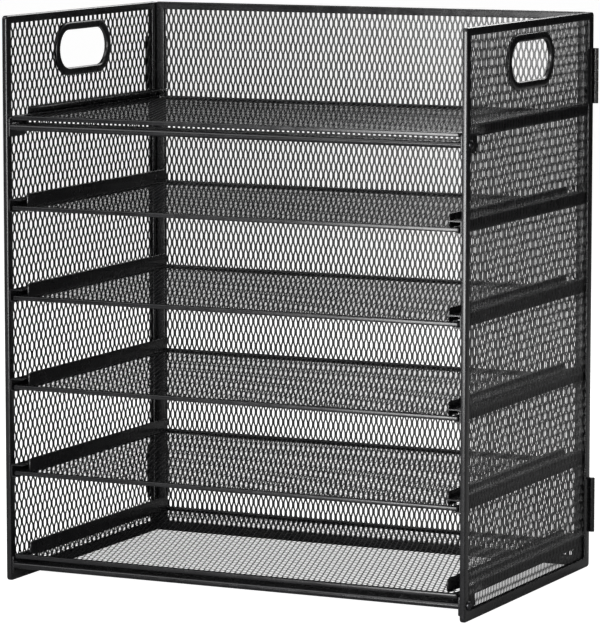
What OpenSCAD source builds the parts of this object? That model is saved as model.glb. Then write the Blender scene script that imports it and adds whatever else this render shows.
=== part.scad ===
// Desktop file sorter: two hinged side panels and a back panel of framed steel mesh
// carry five walled paper trays and a flat top shelf, which all slide out at the front.
// Millimetres. +X is the right side, -Y the open front and +Z up. The origin is the
// middle of the footprint, on the surface that the panels stand on.

/* [Frame] */
// Width over the outer faces of the side panels
frame_w = 320; // [290:1:400]
// Depth from the front edge of the side panels to the back of the hinges
frame_d = 208; // [170:1:260]
// Height of the side and back panels
frame_h = 362.5; // [300:0.5:450]
// Thickness of the folded channel round each panel
panel_t = 3.5; // [2.8:0.1:4.5]
// Width of that channel along the front edge of a side panel
front_border = 6; // [5:0.5:9]
// Width of that channel along the rear edge of a side panel
rear_border = 7.5; // [6:0.5:10]
// Width of that channel along the top edge of every panel
top_border = 5; // [4:0.5:8]
// Width of that channel along the bottom edge of every panel
foot_border = 6.5; // [4:0.5:8]
// Width of that channel along the two upright edges of the back panel
back_border = 6; // [4:0.5:8]
// Radius of the outer corners of the side panels
corner_r = 2.5; // [1:0.5:4]
// Gap between the back panel and each side panel
panel_gap = 0.3; // [0.2:0.1:0.8]

/* [Mesh] */
// Thickness of the expanded sheet in the panels
mesh_t = 1.2; // [0.8:0.1:1.5]
// How far the sheet reaches into a panel's channel
mesh_grip = 2.5; // [1.5:0.5:3]

/* [Handles] */
// Length of the hand opening
handle_len = 64.6; // [50:0.2:80]
// Height of the hand opening
handle_h = 24.6; // [22:0.2:34]
// Depth of the middle of the hand opening below the top edge
handle_drop = 25.4; // [24:0.2:31]
// Width of the ring's lips round the hand opening
ring_lip_w = 5; // [4:0.2:7]
// Thickness of each lip
ring_lip_t = 1; // [0.6:0.1:1.2]
// Wall of the sleeve that joins the two lips through the mesh
ring_sleeve_t = 1.2; // [0.8:0.1:2]

/* [Rails] */
// Height of the underside of the lowest rail
lowest_rail_z = 13.5; // [11:0.5:20]
// Height from the underside of the top rail to the top edge of the panels
top_guard_h = 67; // [64:1:90]
// How much lower the bottom bay is than the upper ones
bottom_bay_cut = 3.5; // [0:0.5:5]
// How much lower the second bay is than the upper ones
second_bay_cut = 2; // [0:0.5:5]
// Height of a rail over its two flanges
rail_h = 8.2; // [6.8:0.1:10]
// Sheet thickness of a rail
rail_t = 0.8; // [0.6:0.1:1]
// Reach of a rail's top flange from the side panel
rail_top_w = 9; // [7:0.5:9]
// Reach of a rail's bottom flange, which the tray slides on
rail_foot_w = 4.5; // [3.5:0.5:7]
// Gap between the rear end of a rail and the back panel
rail_rear_gap = 0.5; // [0.3:0.1:2]
// Gap between the front end of a rail and the front edge, or the ear of a cross bar
rail_front_gap = 1; // [0.5:0.5:3]

/* [Trays] */
// Clearance between a tray and the flange under it
tray_lift = 0.3; // [0.2:0.1:0.5]
// Clearance between the tray rim and the rail's web, on each side
tray_side_gap = 1.1; // [0.5:0.1:1.5]
// Distance from the front edge of the side panels to the tray's front edge
tray_front_gap = 1; // [0.5:0.5:4]
// Distance from the tray's rear edge to the back panel
tray_rear_gap = 1.2; // [1:0.1:4]
// Height of the folded rim round a tray
tray_rim_h = 2.8; // [2.3:0.1:3.4]
// Width of the folded rim round a tray
tray_rim_w = 3.6; // [3:0.1:5]
// Radius of the tray's corners
tray_corner_r = 1.5; // [0.5:0.5:3]
// Thickness of the tray's expanded sheet
tray_mesh_t = 1; // [0.8:0.1:1.2]
// How far that sheet reaches into the rim
tray_mesh_grip = 2; // [1:0.5:2.5]
// Height that a side wall stands above the rim
wall_rise = 8; // [6:0.5:12]
// Thickness of a side wall
wall_t = 1.2; // [0.8:0.1:2]
// Gap between a side wall and the rail's top flange
wall_rail_gap = 1; // [0.5:0.1:3]
// Distance from the tray's front edge to the walls' rounded front ends
wall_front_inset = 5; // [4.5:0.5:20]
// Radius of the corners of a side wall
wall_corner_r = 3; // [1:0.5:3.5]

/* [Cross bars] */
// Height of a cross bar
bar_h = 4; // [3:0.2:5]
// Depth of a cross bar, front to back
bar_d = 23.5; // [20:0.5:26]
// Sheet thickness of a cross bar
bar_wall_t = 0.8; // [0.5:0.1:1]
// Width of the lips that turn in under a cross bar at its front and rear
bar_lip_w = 4.7; // [4:0.1:6]
// Gap between a cross bar and the underside of the rail above it
bar_drop = 1.6; // [1:0.1:2]
// Distance from the front edge of the side panels to a cross bar
bar_front_gap = 0.8; // [0.5:0.1:2]
// Height of the round-ended ear at each end of a cross bar
ear_h = 12; // [10:0.5:12]
// Length of an ear, front to back
ear_len = 24.5; // [22:0.5:28]
// Thickness of an ear
ear_t = 1.2; // [1:0.1:1.2]
// Radius of a cross bar screw's shank
screw_r = 1.5; // [1.2:0.1:1.8]
// Radius of a cross bar screw's head
screw_head_r = 2.8; // [2.3:0.1:3.2]
// Height of a cross bar screw's head
screw_head_h = 1.6; // [1:0.1:2]
// Distance from the front edge of the side panels to the screws
screw_inset = 5.8; // [5:0.1:8]
// Clearance round a shank in the side panel
screw_clearance = 0.2; // [0.1:0.05:0.4]
// Clearance round a shank in the ear's thread
thread_clearance = 0.05; // [0.02:0.01:0.1]

/* [Hinges] */
// Height of a corner hinge
hinge_h = 35.5; // [25:0.5:50]
// Distance from the top or bottom edge of the panels to the nearer end of a hinge
hinge_inset = 23.3; // [15:0.1:40]
// Outer radius of the hinge barrel
barrel_r = 1.85; // [1.5:0.05:2.3]
// Thickness of a hinge leaf
leaf_t = 0.8; // [0.6:0.1:1.2]
// Reach of the leaf on the side panel, from the pin
side_leaf_w = 10; // [7:0.5:15]
// Reach of the leaf on the back panel, from the pin
back_leaf_w = 12; // [9:0.5:14]
// Number of knuckles in a barrel
knuckles = 5; // [3:2:7]
// Gap between neighbouring knuckles
knuckle_gap = 0.25; // [0.1:0.05:0.5]
// Radius of a hinge pin
pin_r = 0.8; // [0.6:0.05:0.95]
// Clearance between a pin and its knuckles
pin_clearance = 0.05; // [0.02:0.01:0.1]

/* [Hidden] */
$fn = 48;
TRAYS = 6;                      // levels, with the flat top shelf as the highest
WALLED = 5;                     // levels whose tray has side walls
CUT = 1;                        // overrun of a cutting shape past the face that it cuts

side_out_x = frame_w / 2;                       // outer face of a side panel
side_in_x = side_out_x - panel_t;               // inner face of a side panel
side_mid_x = side_out_x - panel_t / 2;          // middle plane of its mesh
front_y = -frame_d / 2;                         // front edge of the side panels
rear_y = frame_d / 2 - leaf_t;                  // rear edge of the side panels and back of the back panel
back_in_y = rear_y - panel_t;                   // front face of the back panel
back_half_w = side_in_x - panel_gap;            // half the width of the back panel
panel_mid_y = (front_y + rear_y) / 2;           // middle of a side panel, front to back

top_rail_z = frame_h - top_guard_h;             // underside of the top rail
bay_pitch = (top_rail_z - lowest_rail_z + bottom_bay_cut + second_bay_cut) / (TRAYS - 1);
// Underside of the rail at a level, counted from 1 at the bottom
function rail_z(level) =
    lowest_rail_z + (level - 1) * bay_pitch
    - (level > 1 ? bottom_bay_cut : 0) - (level > 2 ? second_bay_cut : 0);

rail_front_y = front_y + rail_front_gap;        // front end of the rails that clear the ears
ear_rear_y = front_y + bar_front_gap + ear_len; // rear end of a cross bar's ear
rail_rear_y = back_in_y - rail_rear_gap;        // rear end of every rail
// Front end of the rail at a level: the top and bottom ones start behind the ears
function rail_start_y(level) =
    (level == 1 || level == TRAYS) ? ear_rear_y + rail_front_gap : rail_front_y;

tray_half_w = side_in_x - rail_t - tray_side_gap;
tray_front_y = front_y + tray_front_gap;
tray_rear_y = back_in_y - tray_rear_gap;
tray_len = tray_rear_y - tray_front_y;
tray_mid_y = (tray_front_y + tray_rear_y) / 2;
// Underside of the tray rim at a level
function tray_z(level) = rail_z(level) + rail_t + tray_lift;
tray_mesh_lift = (tray_rim_h - tray_mesh_t) / 2; // underside of the sheet above that of the rim

bar_front_y = front_y + bar_front_gap;
screw_y = front_y + screw_inset;
// Middle of the cross bar under the rail at a level
function bar_z(level) = rail_z(level) - bar_drop - bar_h / 2;

pin_x = side_out_x + barrel_r;                  // axis of the right hinges
pin_y = frame_d / 2 - barrel_r;
knuckle_h = hinge_h / knuckles;
lower_hinge_z = hinge_inset;
upper_hinge_z = frame_h - hinge_inset - hinge_h;

SIDES = ["right", "left"];
HEIGHTS = ["upper", "lower"];

// Colours of the powder coated sheet, the mesh and the plated hardware
frame_colour = [0.09, 0.09, 0.10];
mesh_colour = [0.13, 0.13, 0.14];
rail_colour = [0.16, 0.16, 0.17];
tray_colour = [0.20, 0.20, 0.21];
steel_colour = [0.45, 0.45, 0.47];

// ---------------------------------------------------------------- shared shapes

// Rectangle from a low corner to a high corner, with round corners
module rounded_rect(low, high, r) {
    translate([low[0] + r, low[1]]) square([high[0] - low[0] - 2 * r, high[1] - low[1]]);
    translate([low[0], low[1] + r]) square([high[0] - low[0], high[1] - low[1] - 2 * r]);
    for (x = [low[0] + r, high[0] - r], y = [low[1] + r, high[1] - r])
        translate([x, y]) circle(r);
}

// Rectangle from a low corner to a high corner
module rect(low, high) {
    translate(low) square(high - low);
}

// Slot outline with full round ends, centred on the origin
module stadium(len, h) {
    square([len - h, h], center = true);
    for (side = [-1, 1]) translate([side * (len - h) / 2, 0]) circle(h / 2);
}

// Extrudes a Y-Z outline along X, centred on x
module upright_sheet(x, t) {
    translate([x - t / 2, 0, 0]) rotate([90, 0, 90]) linear_extrude(t) children();
}

// Extrudes an X-Z outline along Y, from y_low to y_high
module long_section(y_low, y_high) {
    translate([0, y_high, 0]) rotate([90, 0, 0]) linear_extrude(y_high - y_low) children();
}

// Keeps a piece on the right, or mirrors it to the left
module on_side(side) {
    if (side == "right") children();
    else mirror([1, 0, 0]) children();
}

// ---------------------------------------------------------------- side panels

// Window inside a side panel's channel, grown by a margin on every side
module side_window(margin) {
    rect([front_y + front_border - margin, foot_border - margin],
         [rear_y - rear_border + margin, frame_h - top_border + margin]);
}

// Holes for the two screws through the front edge of a side panel
module screw_holes(x, t, r) {
    for (level = [1, TRAYS])
        translate([x - t / 2 - CUT, screw_y, bar_z(level)])
            rotate([0, 90, 0]) cylinder(r = r, h = t + 2 * CUT);
}

module side_frame() {
    color(frame_colour) difference() {
        upright_sheet(side_mid_x, panel_t) difference() {
            rounded_rect([front_y, 0], [rear_y, frame_h], corner_r);
            side_window(0);
        }
        upright_sheet(side_mid_x, mesh_t) side_window(mesh_grip);
        screw_holes(side_mid_x, panel_t, screw_r + screw_clearance);
    }
}

// Places a Y-Z outline at the middle of the hand opening
module at_handle() {
    translate([panel_mid_y, frame_h - handle_drop]) children();
}

module handle_outline(margin) {
    stadium(handle_len + 2 * margin, handle_h + 2 * margin);
}

module side_mesh() {
    color(mesh_colour) difference() {
        upright_sheet(side_mid_x, mesh_t) difference() {
            side_window(mesh_grip);
            at_handle() handle_outline(ring_sleeve_t);
        }
        screw_holes(side_mid_x, mesh_t, screw_r + screw_clearance);
    }
}

module handle_ring() {
    lip_x = (mesh_t + ring_lip_t) / 2;
    color(frame_colour) {
        upright_sheet(side_mid_x, mesh_t) at_handle() difference() {
            handle_outline(ring_sleeve_t);
            handle_outline(0);
        }
        for (face = [-1, 1])
            upright_sheet(side_mid_x + face * lip_x, ring_lip_t) at_handle() difference() {
                handle_outline(ring_lip_w);
                handle_outline(0);
            }
    }
}

// ---------------------------------------------------------------- back panel

// Window inside the back panel's channel, grown by a margin on every side
module back_window(margin) {
    rect([-back_half_w + back_border - margin, foot_border - margin],
         [back_half_w - back_border + margin, frame_h - top_border + margin]);
}

module back_mesh() {
    mid_y = (back_in_y + rear_y) / 2;
    color(mesh_colour)
        long_section(mid_y - mesh_t / 2, mid_y + mesh_t / 2) back_window(mesh_grip);
}

module back_frame() {
    mid_y = (back_in_y + rear_y) / 2;
    color(frame_colour) difference() {
        long_section(back_in_y, rear_y) difference() {
            rect([-back_half_w, 0], [back_half_w, frame_h]);
            back_window(0);
        }
        long_section(mid_y - mesh_t / 2, mid_y + mesh_t / 2) back_window(mesh_grip);
    }
}

// ---------------------------------------------------------------- rails

// Channel open towards the tray, with its wide flange on top
module rail(level) {
    z = rail_z(level);
    color(rail_colour) long_section(rail_start_y(level), rail_rear_y) {
        rect([side_in_x - rail_t, z], [side_in_x, z + rail_h]);
        rect([side_in_x - rail_top_w, z + rail_h - rail_t], [side_in_x, z + rail_h]);
        rect([side_in_x - rail_foot_w, z], [side_in_x, z + rail_t]);
    }
}

// ---------------------------------------------------------------- cross bars

// Flat bar along X, rolled from sheet with round edges and open underneath, with an ear at each end
// against the side panels
module cross_bar(level) {
    z = bar_z(level);
    half_len = side_in_x;
    edge_r = bar_h / 2 - 0.1;
    lip_y = bar_front_y + bar_lip_w;
    low = z - bar_h / 2;
    color(frame_colour) {
        upright_sheet(0, 2 * (half_len - ear_t)) difference() {
            rounded_rect([bar_front_y, z - bar_h / 2], [bar_front_y + bar_d, z + bar_h / 2], edge_r);
            rounded_rect([bar_front_y + bar_wall_t, low + bar_wall_t],
                         [bar_front_y + bar_d - bar_wall_t, z + bar_h / 2 - bar_wall_t],
                         edge_r - bar_wall_t);
            rect([lip_y, low - CUT], [bar_front_y + bar_d - bar_lip_w, z]);
        }
        for (side = [-1, 1]) difference() {
            upright_sheet(side * (half_len - ear_t / 2), ear_t) ear_outline(z);
            translate([side * half_len, screw_y, z]) rotate([0, 90, 0])
                cylinder(r = screw_r + thread_clearance, h = 2 * (ear_t + CUT), center = true);
        }
    }
}

// Ear with a square front end and a round rear end
module ear_outline(z) {
    rect([bar_front_y, z - ear_h / 2], [ear_rear_y - ear_h / 2, z + ear_h / 2]);
    translate([ear_rear_y - ear_h / 2, z]) circle(ear_h / 2);
}

module cross_bar_screws() {
    color(steel_colour)
        for (side = SIDES, level = [1, TRAYS]) on_side(side)
            translate([side_in_x - ear_t, screw_y, bar_z(level)]) rotate([0, 90, 0]) {
                cylinder(r = screw_r, h = panel_t + ear_t);
                translate([0, 0, panel_t + ear_t]) cylinder(r = screw_head_r, h = screw_head_h);
            }
}

// ---------------------------------------------------------------- hinges

// Bored barrel length at one knuckle, on the right side
module knuckle(z, index) {
    translate([pin_x, pin_y, z + index * knuckle_h + knuckle_gap / 2]) difference() {
        cylinder(r = barrel_r, h = knuckle_h - knuckle_gap);
        translate([0, 0, -CUT]) cylinder(r = pin_r + pin_clearance, h = knuckle_h + 2 * CUT);
    }
}

// Removes what a leaf's plate would put inside the other leaf's knuckles and the pin's bore
module knuckle_room(z, first_other) {
    for (index = [first_other:2:knuckles - 1])
        translate([pin_x, pin_y, z + index * knuckle_h - knuckle_gap / 2])
            cylinder(r = barrel_r + knuckle_gap, h = knuckle_h + knuckle_gap);
    translate([pin_x, pin_y, z - CUT]) cylinder(r = pin_r + pin_clearance, h = hinge_h + 2 * CUT);
}

// Leaf on the outer face of the side panel, with the even knuckles
module side_leaf(z) {
    color(frame_colour) {
        difference() {
            translate([side_out_x, pin_y - side_leaf_w, z]) cube([leaf_t, side_leaf_w, hinge_h]);
            knuckle_room(z, 1);
        }
        for (index = [0:2:knuckles - 1]) knuckle(z, index);
    }
}

// Leaf on the rear face of the back panel, with the odd knuckles
module back_leaf(z) {
    color(frame_colour) {
        difference() {
            translate([pin_x - back_leaf_w, rear_y, z]) cube([back_leaf_w, leaf_t, hinge_h]);
            knuckle_room(z, 0);
        }
        for (index = [1:2:knuckles - 1]) knuckle(z, index);
    }
}

module hinge_pins() {
    color(steel_colour)
        for (side = SIDES, z = [lower_hinge_z, upper_hinge_z]) on_side(side)
            translate([pin_x, pin_y, z]) cylinder(r = pin_r, h = hinge_h);
}

// ---------------------------------------------------------------- trays

// Outline of the tray's floor, shrunk by a margin
module tray_floor(margin) {
    rect([-tray_half_w + margin, tray_front_y + margin], [tray_half_w - margin, tray_rear_y - margin]);
}

module tray_mesh(level) {
    color(mesh_colour)
        translate([0, 0, tray_z(level) + tray_mesh_lift])
            linear_extrude(tray_mesh_t) tray_floor(tray_rim_w - tray_mesh_grip);
}

module tray_rim(level) {
    color(tray_colour) translate([0, 0, tray_z(level)]) difference() {
        linear_extrude(tray_rim_h) difference() {
            rounded_rect([-tray_half_w, tray_front_y], [tray_half_w, tray_rear_y], tray_corner_r);
            tray_floor(tray_rim_w);
        }
        translate([0, 0, tray_mesh_lift])
            linear_extrude(tray_mesh_t) tray_floor(tray_rim_w - tray_mesh_grip);
    }
}

// Upright strip that keeps the papers off the rail
module tray_wall(level) {
    outer_x = side_in_x - rail_top_w - wall_rail_gap;
    foot_z = tray_z(level) + tray_mesh_lift + tray_mesh_t;
    top_z = tray_z(level) + tray_rim_h + wall_rise;
    color(tray_colour) upright_sheet(outer_x - wall_t / 2, wall_t)
        rounded_rect([tray_front_y + wall_front_inset, foot_z],
                     [tray_rear_y - wall_front_inset, top_z], wall_corner_r);
}

// ---------------------------------------------------------------- nodes

for (side = SIDES) {
    on_side(side) side_frame();
    on_side(side) side_mesh();
    on_side(side) handle_ring();
}
back_frame();
back_mesh();
cross_bar(TRAYS);  // top_cross_bar
cross_bar(1);  // bottom_cross_bar
cross_bar_screws();
for (side = SIDES, level = [1:TRAYS])
    on_side(side) rail(level);
for (side = SIDES) {
    on_side(side) side_leaf(upper_hinge_z);
    on_side(side) back_leaf(upper_hinge_z);
    on_side(side) side_leaf(lower_hinge_z);
    on_side(side) back_leaf(lower_hinge_z);
}
hinge_pins();
for (level = [1:TRAYS]) {
    tray_rim(level);
    tray_mesh(level);
}
for (level = [1:WALLED], side = SIDES)
    on_side(side) tray_wall(level);
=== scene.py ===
"""Looks of the desktop file sorter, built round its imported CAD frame. Metres, +Z up, front at -Y.

Every sheet metal part is rebuilt with its real folds, hems and rounded edges, and the mesh sheets with
their diamond openings. Places and sizes come from the boxes of the CAD nodes that the pieces replace.
"""

import math

import bmesh
import bpy
import numpy as np
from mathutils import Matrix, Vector


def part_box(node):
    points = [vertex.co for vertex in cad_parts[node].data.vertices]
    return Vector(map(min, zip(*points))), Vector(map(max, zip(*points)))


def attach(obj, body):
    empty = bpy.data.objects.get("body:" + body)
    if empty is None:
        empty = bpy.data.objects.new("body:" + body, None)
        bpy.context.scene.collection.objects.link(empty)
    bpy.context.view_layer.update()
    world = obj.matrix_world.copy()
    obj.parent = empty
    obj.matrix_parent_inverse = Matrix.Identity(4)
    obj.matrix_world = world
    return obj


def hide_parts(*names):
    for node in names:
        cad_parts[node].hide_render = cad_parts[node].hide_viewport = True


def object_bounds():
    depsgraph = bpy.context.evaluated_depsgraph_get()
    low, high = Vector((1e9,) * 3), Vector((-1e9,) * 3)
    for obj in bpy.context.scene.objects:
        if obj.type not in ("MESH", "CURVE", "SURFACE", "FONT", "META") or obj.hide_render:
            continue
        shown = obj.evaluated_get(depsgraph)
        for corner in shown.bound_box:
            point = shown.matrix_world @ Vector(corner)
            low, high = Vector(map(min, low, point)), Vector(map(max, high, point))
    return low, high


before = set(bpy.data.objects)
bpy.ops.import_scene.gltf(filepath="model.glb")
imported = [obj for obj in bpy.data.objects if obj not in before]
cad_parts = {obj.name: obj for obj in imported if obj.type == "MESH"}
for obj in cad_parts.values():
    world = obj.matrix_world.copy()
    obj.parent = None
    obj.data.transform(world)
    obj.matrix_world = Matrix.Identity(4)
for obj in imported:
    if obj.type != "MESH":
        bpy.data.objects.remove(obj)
cad_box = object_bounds()

MM = 0.001
SIDES = {"right": 1, "left": -1}
LEVELS = range(1, 7)
WALLED_LEVELS = range(1, 6)

# Sheets and folds, as on the real sorter
MESH_GRIP = 2.5 * MM          # how far the CAD sheet reaches into a panel's channel
TRAY_MESH_GRIP = 2.0 * MM     # how far the CAD sheet reaches into a tray's rim
CHANNEL_SHEET = 0.9 * MM      # thickness of a panel channel's lips
RIM_SHEET = 0.8 * MM          # thickness of a tray rim's hem
RAIL_SHEET = 0.8 * MM
RAIL_FOOT = 4.1 * MM          # reach of a rail's lower flange from the middle of its web
RAIL_BEND = 0.9 * MM          # radius of a rail's folds, at the middle of its sheet
LEAF_SHEET = 0.8 * MM
BARREL_R = 1.85 * MM
KNUCKLES = 5                  # on each hinge, shared by its two leaves
KNUCKLE_GAP = 0.25 * MM
EAR_T = 1.2 * MM
RING_LIP = 5.0 * MM           # width of the lips round a hand opening
BAR_H = 4.0 * MM
BAR_D = 23.5 * MM
BAR_LIP = 4.7 * MM            # how far a cross bar's edges turn in under it
BAR_SHEET = 0.8 * MM
SHEET_PLAY = 0.2 * MM         # how far a net and its slot stop short of the CAD sheet's edge
PANEL_EDGE = 0.8 * MM         # rounding of a panel channel's outer edges
PANEL_HEM = 0.35 * MM         # rounding of its lips
WINDOW_R = 0.3 * MM           # corner radius of a channel's window
SMOOTH = 35                   # edges flatter than this angle in degrees are shaded smooth
NET_SMOOTH = 30               # the same for the nets
RING_ROOM = 1.3 * MM          # gap between a hand opening and the net cut back round it
CUT_REACH = 7 * MM            # faces of a net this near the cut are tried against it
TRAY_EDGE = 0.75 * MM         # rounding of a tray rim's outer edges
TRAY_HEM = 0.3 * MM           # rounding of its lips

# Expanded sheets: width and length of a diamond, half width of its opening as a share of the diamond,
# thickness of the strands and how far their edges stand out of the sheet's plane
BACK_NET = (3.73 * MM, 11.25 * MM, 0.244, 0.30 * MM, 0.06 * MM)
LEFT_NET = (6.10 * MM, 11.25 * MM, 0.292, 0.30 * MM, 0.05 * MM)
RIGHT_NET = (2.48 * MM, 11.25 * MM, 0.255, 0.16 * MM, 0.02 * MM)
TRAY_NET = (3.65 * MM, 11.25 * MM, 0.340, 0.25 * MM, 0.04 * MM)


# ---------------------------------------------------------------- outlines

def rounded_rect(low, high, radius, steps=6):
    """Points round a rectangle with round corners, anticlockwise, as an array of 2-D points."""
    (u0, v0), (u1, v1) = low, high
    corners = [(u1 - radius, v1 - radius), (u0 + radius, v1 - radius),
               (u0 + radius, v0 + radius), (u1 - radius, v0 + radius)]
    points = []
    for quarter, (u, v) in enumerate(corners):
        for k in range(steps + 1):
            angle = (quarter + k / steps) * math.pi / 2
            points.append((u + radius * math.cos(angle), v + radius * math.sin(angle)))
    return np.array(points)


def stadium(centre, length, height, steps=20):
    """Points round a slot with full round ends, anticlockwise."""
    radius = height / 2
    reach = length / 2 - radius
    points = []
    for end, start in ((1, -math.pi / 2), (-1, math.pi / 2)):
        for k in range(steps + 1):
            angle = start + math.pi * k / steps
            points.append((centre[0] + end * reach + radius * math.cos(angle),
                           centre[1] + radius * math.sin(angle)))
    return np.array(points)


def circle(centre, radius, steps=32):
    """Points round a circle, anticlockwise."""
    angles = np.arange(steps) * 2 * math.pi / steps
    return np.stack([centre[0] + radius * np.cos(angles), centre[1] + radius * np.sin(angles)], 1)


def folded(path, thickness, bend, steps=5):
    """Outline of a sheet of this thickness folded along 2-D points, its middle bending at radius bend."""
    path = [np.array(p, float) for p in path]
    middle = [path[0]]
    for before, corner, after in zip(path, path[1:], path[2:]):
        into = (corner - before) / np.linalg.norm(corner - before)
        out = (after - corner) / np.linalg.norm(after - corner)
        turn = math.acos(max(-1.0, min(1.0, float(into @ out))))
        reach = bend * math.tan(turn / 2)
        start, end = corner - into * reach, corner + out * reach
        for k in range(steps + 1):
            t = k / steps
            middle.append((1 - t) ** 2 * start + 2 * t * (1 - t) * corner + t ** 2 * end)
    middle.append(path[-1])
    return thickened(np.array(middle), thickness)


def thickened(middle, thickness):
    """Outline at half a thickness on both sides of a line of points, with round ends."""
    along = np.gradient(middle, axis=0)
    along /= np.linalg.norm(along, axis=1)[:, None]
    side = np.stack([-along[:, 1], along[:, 0]], 1) * thickness / 2
    nose = along[-1] * thickness / 2
    tail = -along[0] * thickness / 2
    round_off = 0.7
    tip = [middle[-1] - (side[-1] - nose) * round_off, middle[-1] + nose,
           middle[-1] + (side[-1] + nose) * round_off]
    end = [middle[0] + (side[0] + tail) * round_off, middle[0] + tail,
           middle[0] - (side[0] - tail) * round_off]
    return np.concatenate([middle - side, tip, (middle + side)[::-1], end])


def on_plane(axis, points, depth):
    """Stands 2-D points across an axis: X takes them as (y, z), Y as (x, z) and Z as (x, y)."""
    return np.insert(np.asarray(points, float), "xyz".index(axis), depth, axis=1)


# ---------------------------------------------------------------- solids

def mesh_of(name, vertices, faces):
    """Mesh with its normals outward and its flatter edges smooth."""
    mesh = bpy.data.meshes.new(name)
    mesh.from_pydata([tuple(v) for v in vertices], [], [tuple(f) for f in faces])
    bm = bmesh.new()
    bm.from_mesh(mesh)
    bmesh.ops.recalc_face_normals(bm, faces=bm.faces)
    bm.to_mesh(mesh)
    bm.free()
    shade(mesh, SMOOTH)
    return mesh


def shade(mesh, smooth):
    """Shades a mesh smooth but for edges sharper than this angle in degrees."""
    mesh.polygons.foreach_set("use_smooth", np.ones(len(mesh.polygons), bool))
    mesh.set_sharp_from_angle(angle=math.radians(smooth))
    mesh.update()


def loft(loops, ring=False):
    """Vertices and faces between successive loops. A ring joins its last loop to its first.

    Otherwise the two end loops are closed with caps."""
    count = len(loops[0])
    faces = []
    for k in range(len(loops) if ring else len(loops) - 1):
        here = k * count
        there = (k + 1) % len(loops) * count
        for i in range(count):
            j = (i + 1) % count
            faces.append((here + i, here + j, there + j, there + i))
    if not ring:
        faces.append(tuple(reversed(range(count))))
        faces.append(tuple((len(loops) - 1) * count + i for i in range(count)))
    return np.concatenate(loops), faces


def joined(parts):
    """Vertices and faces of several closed shapes as one mesh's."""
    vertices, faces = [], []
    for points, shape in parts:
        offset = sum(len(v) for v in vertices)
        vertices.append(points)
        faces += [tuple(i + offset for i in face) for face in shape]
    return np.concatenate(vertices), faces


# A quarter round, as (inset, rise) shares of its radius
EASED = [(1.0, 0.0), (0.62, 0.08), (0.29, 0.29), (0.08, 0.62), (0.0, 1.0)]


def plate(axis, outline, low, high, edge):
    """Flat plate between two depths with rounded edges. outline(inset) gives its outline, shrunk."""
    loops = [on_plane(axis, outline(inset * edge), low + rise * edge) for inset, rise in EASED]
    loops += [on_plane(axis, outline(inset * edge), high - rise * edge) for inset, rise in reversed(EASED)]
    return loft(loops)


def channel_ring(axis, outer, window, low, high, edge, lip, grip, hem):
    """Folded channel round a window, with a slot in its inner face for the mesh sheet.

    outer(inset) and window(outset) give the two outlines, low and high are the channel's faces along the
    axis, edge its rounding, lip its sheet thickness, grip the slot's depth and hem the lips' rounding."""
    outside = [on_plane(axis, outer(inset * edge), low + rise * edge) for inset, rise in EASED]
    outside += [on_plane(axis, outer(inset * edge), high - rise * edge) for inset, rise in reversed(EASED)]
    top_lip = [on_plane(axis, window(inset * hem), high - rise * hem) for inset, rise in EASED]
    low_lip = [on_plane(axis, window(inset * hem), low + rise * hem) for inset, rise in EASED]
    slot = [on_plane(axis, window(0), high - lip), on_plane(axis, window(grip), high - lip),
            on_plane(axis, window(grip), low + lip), on_plane(axis, window(0), low + lip)]
    return loft(outside + top_lip + slot + low_lip[::-1], ring=True)


def prism(axis, outline, low, high):
    """Outline drawn out along an axis and closed at both ends."""
    return loft([on_plane(axis, outline, low), on_plane(axis, outline, high)])


def lathe(centre, axis, profile, steps=32):
    """Closed solid of revolution from (radius, depth) points along an axis."""
    return loft([on_plane(axis, circle(centre, radius, steps), depth) for radius, depth in profile])


# ---------------------------------------------------------------- expanded mesh

def diamond_layer(low, high, diamond, tip=0.345, bond=0.110):
    """Flat net of diamond openings over a window, cut off at its edges.

    tip and bond are an opening's half length and half the length of its straight side, as shares of the
    diamond's length. A vertex's third coordinate is how far it leans out, from -1 to 1."""
    low, high = np.array(low), np.array(high)
    width, length, side = diamond[:3]
    half = np.array([width, length]) / 2
    count = np.ceil((high - low) / 2 / half).astype(int) + 1
    middle = (low + high) / 2
    columns, rows = 2 * count[0] + 1, 2 * count[1] + 1
    grid = np.array([(middle[0] + i * half[0], middle[1] + j * half[1], 0.0)
                     for i in range(-count[0], count[0] + 1) for j in range(-count[1], count[1] + 1)])
    opening = np.array([(0, tip * length, 0), (side * width, bond * length, -1),
                        (side * width, -bond * length, -1), (0, -tip * length, 0),
                        (-side * width, -bond * length, 1), (-side * width, bond * length, 1)])
    points, faces = [grid], []
    total = len(grid)
    for i in range(1, columns - 1):
        for j in range(1, rows - 1):
            if (i + j) % 2:
                continue
            here = i * rows + j
            top, right, bottom, left = here + 1, here + rows, here - 1, here - rows
            t, r1, r2, b, l2, l1 = range(total, total + 6)
            points.append(grid[here] + opening)
            total += 6
            faces += [(top, t, r1, right), (right, r1, r2), (right, r2, b, bottom),
                      (bottom, b, l2, left), (left, l2, l1), (left, l1, t, top)]
    return cut_to_window(np.concatenate(points), faces, low, high)


def cut_to_window(points, faces, low, high):
    """bmesh of the net, cut off along the four edges of its window."""
    mesh = bpy.data.meshes.new("net")
    mesh.from_pydata([tuple(p) for p in points], [], faces)
    bm = bmesh.new()
    bm.from_mesh(mesh)
    bpy.data.meshes.remove(mesh)
    for point, way in ((low, (-1, 0)), (low, (0, -1)), (high, (1, 0)), (high, (0, 1))):
        bmesh.ops.bisect_plane(bm, geom=bm.verts[:] + bm.edges[:] + bm.faces[:], dist=1e-7,
                               plane_co=(*point, 0), plane_no=(*way, 0), clear_outer=True)
    loose = [v for v in bm.verts if not v.link_faces]
    bmesh.ops.delete(bm, geom=loose, context="VERTS")
    return bm


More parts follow.
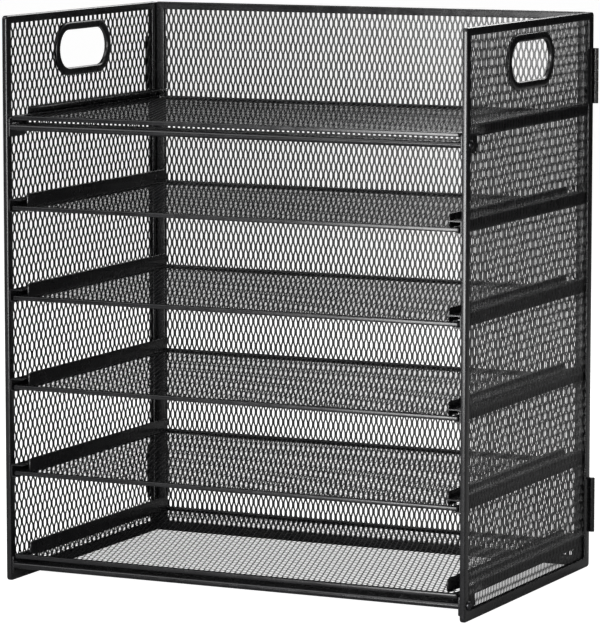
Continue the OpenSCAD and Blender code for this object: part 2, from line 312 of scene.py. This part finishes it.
def cut_opening(bm, outline, reach):
    """Takes a convex outline out of a flat net. Only faces within reach of a side are cut by it."""
    centre = outline.mean(0)
    bounds = np.array([outline.min(0) - reach, outline.max(0) + reach])
    for start, end in zip(outline, np.roll(outline, -1, 0)):
        along = end - start
        length = np.linalg.norm(along)
        if length < 1e-7:
            continue
        along /= length
        way = np.array([along[1], -along[0]])
        near = []
        for face in bm.faces:
            at = np.array(face.calc_center_median()[:2])
            if (at < bounds[0]).any() or (at > bounds[1]).any():
                continue
            offset = at - start
            if -reach < offset @ along < length + reach and abs(offset @ way) < reach:
                near.append(face)
        geometry = set(near)
        for face in near:
            geometry.update(face.edges)
            geometry.update(face.verts)
        bmesh.ops.bisect_plane(bm, geom=list(geometry), dist=1e-7,
                               plane_co=(*start, 0), plane_no=(*way, 0))
    gone = [f for f in bm.faces if holds(outline, centre, f.calc_center_median())]
    bmesh.ops.delete(bm, geom=gone, context="FACES")


def holds(outline, centre, point):
    """True if a point lies inside a convex anticlockwise outline."""
    at = np.array(point[:2])
    if (at < outline.min(0)).any() or (at > outline.max(0)).any():
        return False
    along = np.roll(outline, -1, 0) - outline
    offset = at - outline
    return bool((along[:, 0] * offset[:, 1] - along[:, 1] * offset[:, 0] >= -1e-12).all())


def sheet_mesh(name, bm, axis, depth, diamond):
    """Gives a flat net its thickness and its strands' lean, and stands it across an axis."""
    thickness, twist = diamond[3:]
    bm.verts.index_update()
    flat = np.array([v.co for v in bm.verts])
    count = len(flat)
    fronts = [[v.index for v in f.verts] for f in bm.faces]
    walls = []
    for edge in bm.edges:
        if len(edge.link_loops) == 1:
            loop = edge.link_loops[0]
            walls.append((loop.vert.index, loop.link_loop_next.vert.index))
    bm.free()
    layers = [on_plane(axis, flat[:, :2], depth + flat[:, 2] * twist + way * thickness / 2)
              for way in (1, -1)]
    faces = fronts + [[i + count for i in reversed(face)] for face in fronts]
    faces += [[a, a + count, b + count, b] for a, b in walls]
    if axis == "y":
        faces = [face[::-1] for face in faces]
    mesh = bpy.data.meshes.new(name)
    mesh.from_pydata([tuple(v) for v in np.concatenate(layers)], [], faces)
    shade(mesh, NET_SMOOTH)
    return mesh


# ---------------------------------------------------------------- materials

def painted(name, low, high, grain, rough, bump, worn=0.0, metallic=0.0):
    """Procedural coat. low and high are its darkest and lightest colour, grain the size of its texture
    in metres, rough its roughness range, bump its height in metres and worn the wear along edges."""
    material = bpy.data.materials.new(name)
    material.use_nodes = True
    nodes, links = material.node_tree.nodes, material.node_tree.links
    shader = nodes["Principled BSDF"]
    shader.inputs["Metallic"].default_value = metallic
    place = nodes.new("ShaderNodeTexCoord")

    def noise(size, detail=3.0):
        node = nodes.new("ShaderNodeTexNoise")
        node.inputs["Scale"].default_value = 1 / size
        node.inputs["Detail"].default_value = detail
        links.new(place.outputs["Object"], node.inputs["Vector"])
        return node.outputs["Fac"]

    def spread(source, low_value, high_value):
        node = nodes.new("ShaderNodeMapRange")
        node.inputs["From Min"].default_value = 0.3
        node.inputs["From Max"].default_value = 0.7
        node.inputs["To Min"].default_value = low_value
        node.inputs["To Max"].default_value = high_value
        links.new(source, node.inputs["Value"])
        return node.outputs["Result"]

    blotches = noise(60 * grain, 4.0)
    colour = nodes.new("ShaderNodeMix")
    colour.data_type = "RGBA"
    colour.inputs["A"].default_value = (*low, 1)
    colour.inputs["B"].default_value = (*high, 1)
    links.new(spread(blotches, 0, 1), colour.inputs["Factor"])
    result = colour.outputs["Result"]
    if worn:
        result = edge_wear(nodes, links, result, noise(8 * grain), high, worn)
    links.new(result, shader.inputs["Base Color"])
    links.new(spread(noise(25 * grain), *rough), shader.inputs["Roughness"])

    orange_peel = nodes.new("ShaderNodeMath")
    orange_peel.operation = "MULTIPLY_ADD"
    orange_peel.inputs[1].default_value = 0.35
    links.new(noise(grain, 1.0), orange_peel.inputs[0])
    links.new(noise(4 * grain, 1.0), orange_peel.inputs[2])
    bumps = nodes.new("ShaderNodeBump")
    bumps.inputs["Strength"].default_value = 1.0
    bumps.inputs["Distance"].default_value = bump
    links.new(orange_peel.outputs["Value"], bumps.inputs["Height"])
    links.new(bumps.outputs["Normal"], shader.inputs["Normal"])
    return material


def edge_wear(nodes, links, colour, patches, high, amount):
    """Lightens the coat in patches along edges, where a bevel's normal leaves the surface's own."""
    bevel = nodes.new("ShaderNodeBevel")
    bevel.samples = 3
    bevel.inputs["Radius"].default_value = 0.5 * MM
    own = nodes.new("ShaderNodeNewGeometry")
    match = nodes.new("ShaderNodeVectorMath")
    match.operation = "DOT_PRODUCT"
    links.new(bevel.outputs["Normal"], match.inputs[0])
    links.new(own.outputs["True Normal"], match.inputs[1])
    edge = nodes.new("ShaderNodeMapRange")
    edge.inputs["From Min"].default_value = 0.98
    edge.inputs["From Max"].default_value = 0.8
    edge.inputs["To Min"].default_value = 0.0
    edge.inputs["To Max"].default_value = amount
    links.new(match.outputs["Value"], edge.inputs["Value"])
    share = nodes.new("ShaderNodeMath")
    share.operation = "MULTIPLY"
    links.new(edge.outputs["Result"], share.inputs[0])
    links.new(patches, share.inputs[1])
    mix = nodes.new("ShaderNodeMix")
    mix.data_type = "RGBA"
    mix.inputs["B"].default_value = (*[3 * c for c in high], 1)
    links.new(colour, mix.inputs["A"])
    links.new(share.outputs["Value"], mix.inputs["Factor"])
    return mix.outputs["Result"]


FRAME_COAT = painted("frame powder coat", (0.0050, 0.0050, 0.0055), (0.0110, 0.0110, 0.0120), 0.35 * MM,
                     (0.20, 0.30), 0.012 * MM, worn=0.5)
MESH_COAT = painted("mesh powder coat", (0.0040, 0.0040, 0.0045), (0.0090, 0.0090, 0.0095), 0.30 * MM,
                    (0.26, 0.36), 0.010 * MM)
TRAY_COAT = painted("tray powder coat", (0.0060, 0.0060, 0.0065), (0.0130, 0.0130, 0.0140), 0.35 * MM,
                    (0.20, 0.30), 0.012 * MM, worn=0.5)
RING_COAT = painted("ring enamel", (0.0040, 0.0040, 0.0045), (0.0080, 0.0080, 0.0085), 0.6 * MM,
                    (0.22, 0.32), 0.008 * MM)
SCREW_STEEL = painted("blackened steel", (0.035, 0.035, 0.038), (0.080, 0.080, 0.085), 0.15 * MM,
                      (0.25, 0.45), 0.004 * MM, worn=0.6, metallic=1.0)


# ---------------------------------------------------------------- pieces

def piece(name, mesh, body, nodes, material, height=0.0):
    """Shows a mesh, raised by a height, in place of some CAD nodes and on their body."""
    made = bpy.data.objects.new(name, mesh)
    bpy.context.scene.collection.objects.link(made)
    made.location.z = height
    if not mesh.materials:
        mesh.materials.append(material)
    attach(made, body)
    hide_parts(*nodes)


def box_of(node):
    """Lowest and highest corner of a CAD node's box."""
    low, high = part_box(node)
    return np.array(low), np.array(high)


def build_side(side):
    """One side panel: its channel, its mesh sheet and the ring round its hand opening."""
    low, high = box_of(f"{side}_side_frame")
    sheet_low, sheet_high = box_of(f"{side}_side_mesh")
    ring_low, ring_high = box_of(f"{side}_handle_ring")

    def outer(inset):
        return rounded_rect(low[1:] + inset, high[1:] - inset, 2.5 * MM - inset)

    def window(outset):
        return rounded_rect(sheet_low[1:] + MESH_GRIP - outset, sheet_high[1:] - MESH_GRIP + outset,
                            WINDOW_R + outset)

    ring = channel_ring("x", outer, window, low[0], high[0], PANEL_EDGE, CHANNEL_SHEET,
                        MESH_GRIP - SHEET_PLAY, PANEL_HEM)
    piece(f"{side}_side_channel", mesh_of(f"{side}_side_channel", *ring), "frame",
          [f"{side}_side_frame"], FRAME_COAT)

    centre = (ring_low[1:] + ring_high[1:]) / 2
    size = ring_high[1:] - ring_low[1:] - 2 * RING_LIP
    middle = (low[0] + high[0]) / 2
    diamond = RIGHT_NET if side == "right" else LEFT_NET
    net = diamond_layer(sheet_low[1:] + SHEET_PLAY, sheet_high[1:] - SHEET_PLAY, diamond)
    cut_opening(net, stadium(centre, size[0] + 2 * RING_ROOM, size[1] + 2 * RING_ROOM, 12), CUT_REACH)
    piece(f"{side}_side_sheet", sheet_mesh(f"{side}_side_sheet", net, "x", middle, diamond), "frame",
          [f"{side}_side_mesh"], MESH_COAT)

    # Half of the ring's section as (margin round the opening, distance from the mesh's plane)
    half = [(0.0, 0.35), (0.03, 0.75), (0.16, 1.10), (0.42, 1.38), (0.85, 1.55), (1.6, 1.6), (3.0, 1.58),
            (3.9, 1.48), (4.5, 1.28), (4.88, 1.02), (5.0, 0.78), (4.98, 0.62), (1.25, 0.60)]
    section = half + [(margin, -depth) for margin, depth in reversed(half)]
    loops = [on_plane("x", stadium(centre, size[0] + 2 * m * MM, size[1] + 2 * m * MM), middle + d * MM)
             for m, d in section]
    piece(f"{side}_handle_grip_ring", mesh_of(f"{side}_handle_grip_ring", *loft(loops, ring=True)), "frame",
          [f"{side}_handle_ring"], RING_COAT)


def build_back():
    """The back panel: its channel and its mesh sheet."""
    low, high = box_of("back_frame")
    sheet_low, sheet_high = box_of("back_mesh")
    flat = [0, 2]

    def outer(inset):
        return rounded_rect(low[flat] + inset, high[flat] - inset, 1.0 * MM - inset)

    def window(outset):
        return rounded_rect(sheet_low[flat] + MESH_GRIP - outset, sheet_high[flat] - MESH_GRIP + outset,
                            WINDOW_R + outset)

    ring = channel_ring("y", outer, window, low[1], high[1], PANEL_EDGE, CHANNEL_SHEET,
                        MESH_GRIP - SHEET_PLAY, PANEL_HEM)
    piece("back_channel", mesh_of("back_channel", *ring), "frame", ["back_frame"],
          FRAME_COAT)
    net = diamond_layer(sheet_low[flat] + SHEET_PLAY, sheet_high[flat] - SHEET_PLAY, BACK_NET)
    piece("back_sheet", sheet_mesh("back_sheet", net, "y", (low[1] + high[1]) / 2, BACK_NET), "frame",
          ["back_mesh"], MESH_COAT)


def build_rails():
    """The twelve channel rails, folded from sheet with their wide flange on top."""
    for side, way in SIDES.items():
        for level in LEVELS:
            node = f"{side}_rail_{level}"
            low, high = box_of(node)
            wall = (high[0] if way > 0 else low[0]) - way * RAIL_SHEET / 2
            top_tip = (low[0] if way > 0 else high[0]) + way * RAIL_SHEET / 2
            foot_tip = wall - way * RAIL_FOOT
            base, crown = low[2] + RAIL_SHEET / 2, high[2] - RAIL_SHEET / 2
            outline = folded([(foot_tip, base), (wall, base), (wall, crown), (top_tip, crown)],
                             RAIL_SHEET, RAIL_BEND)
            piece(f"{node}_channel", mesh_of(node, *prism("y", outline, low[1], high[1])), "frame",
                  [node], FRAME_COAT)


def build_cross_bars():
    """The two front cross bars: a flat bar rolled from sheet, an ear at each end and their weld beads."""
    for name in ("top_cross_bar", "bottom_cross_bar"):
        low, high = box_of(name)
        height = (low[2] + high[2]) / 2
        ear_r = (high[2] - low[2]) / 2

        def ear(inset):
            return ear_outline(low[1:] + inset, high[1:] - inset, ear_r - inset)

        rolled = thickened(bar_path(low[1], height), BAR_SHEET)
        bite = 0.05 * MM
        parts = [prism("x", rolled, low[0] + EAR_T - bite, high[0] - EAR_T + bite)]
        for end, way in ((low[0], 1), (high[0], -1)):
            face = end + way * EAR_T
            parts.append(plate("x", ear, min(end, face), max(end, face), 0.3 * MM))
            crown = height + BAR_H / 2
            bead = [(face - way * 0.1 * MM, crown - 0.1 * MM), (face + way * 0.9 * MM, crown - 0.1 * MM),
                    (face + way * 0.55 * MM, crown + 0.22 * MM), (face + way * 0.22 * MM, crown + 0.55 * MM),
                    (face - way * 0.1 * MM, crown + 0.9 * MM)]
            parts.append(prism("y", bead, low[1] + 3 * MM, low[1] + BAR_D - 3 * MM))
        piece(f"{name}_rolled", mesh_of(name, *joined(parts)), "frame", [name],
              FRAME_COAT)


def bar_path(front, height):
    """Middle of a cross bar's sheet in (y, z): round at the front and rear, open underneath."""
    reach = (BAR_H - BAR_SHEET) / 2
    rear = front + BAR_D
    points = [(front + BAR_LIP, height - reach)]
    for centre, start in ((front + BAR_H / 2, -90), (rear - BAR_H / 2, 90)):
        for angle in np.radians(np.linspace(start, start - 180, 13)):
            points.append((centre + reach * math.cos(angle), height + reach * math.sin(angle)))
    points.append((rear - BAR_LIP, height - reach))
    return np.array(points)


def ear_outline(low, high, radius, steps=14):
    """Ear of a cross bar: eased corners at the front and a round rear end."""
    centre = (high[0] - radius, (low[1] + high[1]) / 2)
    corner = 0.8 * MM
    points = [(centre[0] + radius * math.cos(a), centre[1] + radius * math.sin(a))
              for a in np.linspace(-math.pi / 2, math.pi / 2, steps)]
    for v, start in ((high[1] - corner, math.pi / 2), (low[1] + corner, math.pi)):
        points += [(low[0] + corner + corner * math.cos(start + k * math.pi / 8),
                    v + corner * math.sin(start + k * math.pi / 8)) for k in range(5)]
    return np.array(points)


def build_screws():
    """The four cross bar screws, with domed heads and a cross recess."""
    low, high = box_of("cross_bar_screws")
    head_r, shank_r, head_h = 2.8 * MM, 1.5 * MM, 1.6 * MM
    heights = (low[2] + head_r, high[2] - head_r)
    depth = (low[1] + high[1]) / 2
    made = bmesh.new()
    for way in SIDES.values():
        for height in heights:
            tip = high[0] * way
            seat = tip - way * head_h
            inner = way * box_of("right_side_frame")[0][0] - way * EAR_T
            profile = [(shank_r, inner), (shank_r, seat - way * 0.02 * MM), (head_r - 0.25 * MM, seat),
                       (head_r, seat + way * 0.2 * MM), (head_r, seat + way * 0.55 * MM),
                       (head_r * 0.93, seat + way * 0.95 * MM), (head_r * 0.78, seat + way * 1.3 * MM),
                       (head_r * 0.55, seat + way * 1.5 * MM), (head_r * 0.3, tip)]
            head = mesh_of("head", *lathe((depth, height), "x", profile))
            recess = mesh_of("recess", *cross_recess(tip, way, depth, height))
            head = without(head, recess)
            made.from_mesh(head)
    mesh = bpy.data.meshes.new("cross_bar_screws")
    made.to_mesh(mesh)
    made.free()
    shade(mesh, SMOOTH)
    piece("cross_bar_screw_set", mesh, "frame", ["cross_bar_screws"], SCREW_STEEL)


def cross_recess(tip, way, depth, height):
    """Cutter of a cross recess, which narrows towards its bottom."""
    arm, thick = 1.35 * MM, 0.32 * MM
    cross = [(arm, thick), (thick, thick), (thick, arm), (-thick, arm), (-thick, thick), (-arm, thick),
             (-arm, -thick), (-thick, -thick), (-thick, -arm), (thick, -arm), (thick, -thick), (arm, -thick)]
    cross = np.array(cross)
    centre = np.array([depth, height])
    return loft([on_plane("x", centre + cross * 0.45, tip - way * 1.1 * MM),
                 on_plane("x", centre + cross, tip + way * 0.3 * MM)])


def without(mesh, cutter):
    """A mesh with another taken out of it."""
    body = bpy.data.objects.new("body", mesh)
    tool = bpy.data.objects.new("tool", cutter)
    for made in (body, tool):
        bpy.context.scene.collection.objects.link(made)
    cut = body.modifiers.new("cut", "BOOLEAN")
    cut.operation, cut.solver, cut.object = "DIFFERENCE", "EXACT", tool
    result = bpy.data.meshes.new_from_object(body.evaluated_get(bpy.context.evaluated_depsgraph_get()))
    for made in (body, tool):
        bpy.data.objects.remove(made)
    return result


def build_hinges():
    """The four corner hinges: each leaf's plate with the knuckles that curl out of it."""
    for height in ("upper", "lower"):
        for side, way in SIDES.items():
            build_leaf(height, side, way, "side", 0)
            build_leaf(height, side, way, "back", 1)


def build_leaf(height, side, way, leaf, first):
    """One leaf in X-Y outlines drawn up along Z. first is 0 for the even knuckles and 1 for the odd ones."""
    node = f"{height}_{side}_hinge_{leaf}_leaf"
    low, high = box_of(node)
    side_low, side_high = box_of(f"{height}_{side}_hinge_side_leaf")
    base, crown = side_low[2], side_high[2]
    pitch = (crown - base + KNUCKLE_GAP) / KNUCKLES
    pin = np.array([way * (abs(high[0] if way > 0 else low[0]) - BARREL_R), cad_box[1][1] - BARREL_R])
    curl = BARREL_R - LEAF_SHEET / 2
    if leaf == "side":
        plate_start = np.array([pin[0] - way * curl, low[1]])
        plate_end = np.array([pin[0] - way * curl, pin[1]])
        angles = np.radians(np.linspace(180, -110, 22))
    else:
        far = low[0] if way > 0 else high[0]
        plate_start = np.array([far, pin[1] + curl])
        plate_end = np.array([pin[0], pin[1] + curl])
        angles = np.radians(np.linspace(90, -200, 22))
    rounds = np.stack([pin[0] + way * curl * np.cos(angles), pin[1] + curl * np.sin(angles)], 1)
    into = (plate_end - plate_start) / np.linalg.norm(plate_end - plate_start)
    short = plate_end - into * (BARREL_R + KNUCKLE_GAP)
    flat = folded([plate_start + into * LEAF_SHEET / 2, short], LEAF_SHEET, 0.1 * MM)
    parts = [prism("z", flat, base, crown)]
    knuckle = thickened(np.concatenate([[short - into * 0.2 * MM], rounds]), LEAF_SHEET)
    for index in range(first, KNUCKLES, 2):
        bottom = base + index * pitch
        parts.append(prism("z", knuckle, bottom, bottom + pitch - KNUCKLE_GAP))
    piece(f"{node}_plate", mesh_of(node, *joined(parts)), "frame", [node],
          FRAME_COAT)


def build_trays():
    """The six trays: rim, mesh floor and, on the walled levels, two side walls."""
    tray_low, tray_high = box_of("tray_1_mesh")
    net = diamond_layer(tray_low[:2] + SHEET_PLAY, tray_high[:2] - SHEET_PLAY, TRAY_NET)
    floor = sheet_mesh("tray_sheet", net, "z", 0.0, TRAY_NET)
    for level in LEVELS:
        body = f"tray_{level}"
        low, high = box_of(f"{body}_rim")
        sheet_low, sheet_high = box_of(f"{body}_mesh")

        def outer(inset):
            return rounded_rect(low[:2] + inset, high[:2] - inset, 1.5 * MM - inset)

        def window(outset):
            return rounded_rect(sheet_low[:2] + TRAY_MESH_GRIP - outset,
                                sheet_high[:2] - TRAY_MESH_GRIP + outset, WINDOW_R + outset)

        rim = channel_ring("z", outer, window, low[2], high[2], TRAY_EDGE, RIM_SHEET,
                           TRAY_MESH_GRIP - SHEET_PLAY, TRAY_HEM)
        piece(f"{body}_folded_rim", mesh_of(f"{body}_rim", *rim), body, [f"{body}_rim"],
              TRAY_COAT)
        piece(f"{body}_sheet", floor, body, [f"{body}_mesh"], MESH_COAT,
              height=(sheet_low[2] + sheet_high[2]) / 2)
        if level in WALLED_LEVELS:
            for side in SIDES:
                build_wall(body, side)


def build_wall(body, side):
    """Upright side wall of a tray, with eased edges and round corners."""
    node = f"{body}_{side}_wall"
    low, high = box_of(node)

    def outline(inset):
        return rounded_rect(low[1:] + inset, high[1:] - inset, 3 * MM - inset)

    shape = plate("x", outline, low[0], high[0], 0.5 * MM)
    piece(f"{node}_strip", mesh_of(node, *shape), body, [node], TRAY_COAT)


def finish_pins():
    """The hinge pins stay as the CAD has them, in blackened steel."""
    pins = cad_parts["hinge_pins"]
    pins.data.materials.clear()
    pins.data.materials.append(SCREW_STEEL)


# ---------------------------------------------------------------- studio

# The camera, fitted to the sorter's straight edges: angles in degrees, lens and sensor in millimetres
VIEW_AZIMUTH = 25.503
VIEW_ELEVATION = 7.2085
VIEW_DISTANCE = 2.60985
VIEW_TARGET = Vector((-0.0006, 0.0, 0.1707))
VIEW_LENS = 233.84
VIEW_SENSOR = 36

FLOOR_REACH = 20.0            # half the side of the floor
FLOOR_DROP = 0.0002           # gap under the sorter, so that no faces coincide
FLOOR_GLOW = 0.98
FLOOR_BODY = 0.32
ROOM_GLOW = 0.02              # of the surroundings, as the sorter mirrors them


def direction(azimuth, elevation):
    """Unit vector from the object towards a place round it: azimuth 0 is the front, positive to +X."""
    a, e = math.radians(azimuth), math.radians(elevation)
    return Vector((math.sin(a) * math.cos(e), -math.cos(a) * math.cos(e), math.sin(e)))


def add_camera():
    """Camera at the fitted place."""
    camera = bpy.data.objects.new("camera", bpy.data.cameras.new("camera"))
    bpy.context.scene.collection.objects.link(camera)
    back = direction(VIEW_AZIMUTH, VIEW_ELEVATION)
    camera.location = VIEW_TARGET + back * VIEW_DISTANCE
    camera.rotation_mode = "QUATERNION"
    camera.rotation_quaternion = (-back).to_track_quat("-Z", "Y")
    camera.data.lens = VIEW_LENS
    camera.data.sensor_width = VIEW_SENSOR
    camera.data.clip_start = 0.05
    camera.data.clip_end = 60
    bpy.context.scene.camera = camera


def add_panel(name, place, away, size, radiance):
    """Rectangular soft light at a place, shining against the direction away, of an even radiance."""
    light = bpy.data.objects.new(name, bpy.data.lights.new(name, "AREA"))
    bpy.context.scene.collection.objects.link(light)
    light.location = place
    light.rotation_mode = "QUATERNION"
    light.rotation_quaternion = (-Vector(away)).to_track_quat("-Z", "Y")
    light.data.shape = "RECTANGLE"
    light.data.size, light.data.size_y = size
    light.data.energy = radiance * math.pi * size[0] * size[1]
    light.visible_camera = False


def pale(name, glow, body):
    """Pale studio paper: it glows for the camera only, so that it photographs white and lights softly."""
    material = bpy.data.materials.new(name)
    material.use_nodes = True
    nodes, links = material.node_tree.nodes, material.node_tree.links
    nodes.clear()
    output = nodes.new("ShaderNodeOutputMaterial")
    paper = nodes.new("ShaderNodeBsdfDiffuse")
    paper.inputs["Color"].default_value = (body, body, body, 1)
    light = nodes.new("ShaderNodeEmission")
    light.inputs["Color"].default_value = (1, 1, 1, 1)
    path = nodes.new("ShaderNodeLightPath")
    strength = nodes.new("ShaderNodeMath")
    strength.operation = "MULTIPLY"
    strength.inputs[1].default_value = glow
    both = nodes.new("ShaderNodeAddShader")
    links.new(path.outputs["Is Camera Ray"], strength.inputs[0])
    links.new(strength.outputs["Value"], light.inputs["Strength"])
    links.new(paper.outputs["BSDF"], both.inputs[0])
    links.new(light.outputs["Emission"], both.inputs[1])
    links.new(both.outputs["Shader"], output.inputs["Surface"])
    return material


def build_studio():
    """Pale floor to the horizon, dim surroundings and soft lights."""
    floor_mesh = bpy.data.meshes.new("floor")
    corners = [(-1, -1), (1, -1), (1, 1), (-1, 1)]
    floor_mesh.from_pydata([(x * FLOOR_REACH, y * FLOOR_REACH, 0) for x, y in corners], [], [(0, 1, 2, 3)])
    floor = bpy.data.objects.new("floor", floor_mesh)
    bpy.context.scene.collection.objects.link(floor)
    floor.location.z = -FLOOR_DROP
    floor_mesh.materials.append(pale("pale floor", FLOOR_GLOW, FLOOR_BODY))

    world = bpy.data.worlds.new("studio")
    world.use_nodes = True
    nodes, links = world.node_tree.nodes, world.node_tree.links
    background = nodes["Background"]
    path = nodes.new("ShaderNodeLightPath")
    strength = nodes.new("ShaderNodeMapRange")
    strength.inputs["To Min"].default_value = ROOM_GLOW
    strength.inputs["To Max"].default_value = 1.0
    background.inputs["Color"].default_value = (1, 1, 1, 1)
    links.new(path.outputs["Is Camera Ray"], strength.inputs["Value"])
    links.new(strength.outputs["Result"], background.inputs["Strength"])
    bpy.context.scene.world = world

    # The front faces mirror the key's left edge, so they brighten towards the right
    add_panel("key", (0.02, -1.10, 0.30), (0, -1, 0), (0.56, 0.60), 16.0)
    add_panel("edge", (1.20, -0.75, 0.35), (1.2, -0.75, 0), (0.12, 0.9), 8.0)
    add_panel("overhead", (-0.55, -0.75, 1.25), (-0.5, -0.8, 1.1), (1.0, 0.7), 2.6)
    add_panel("top", (0.0, 0.25, 1.60), (0, 0.1, 1), (1.0, 0.8), 1.2)
    # Fills that the other sides mirror, out of sight of the front's view
    add_panel("right fill", (1.70, -0.05, 0.45), (1, 0, 0.1), (0.8, 0.9), 0.9)
    add_panel("left fill", (-1.70, 0.10, 0.45), (-1, 0, 0.1), (1.1, 0.9), 3.2)
    add_panel("rear fill", (0.0, 1.05, 1.00), (0, 0.6, 1), (1.0, 0.7), 6.0)
    bpy.context.scene.view_settings.view_transform = "Standard"


build_side("right")
build_side("left")
build_back()
build_rails()
build_cross_bars()
build_screws()
build_hinges()
build_trays()
finish_pins()
add_camera()
build_studio()
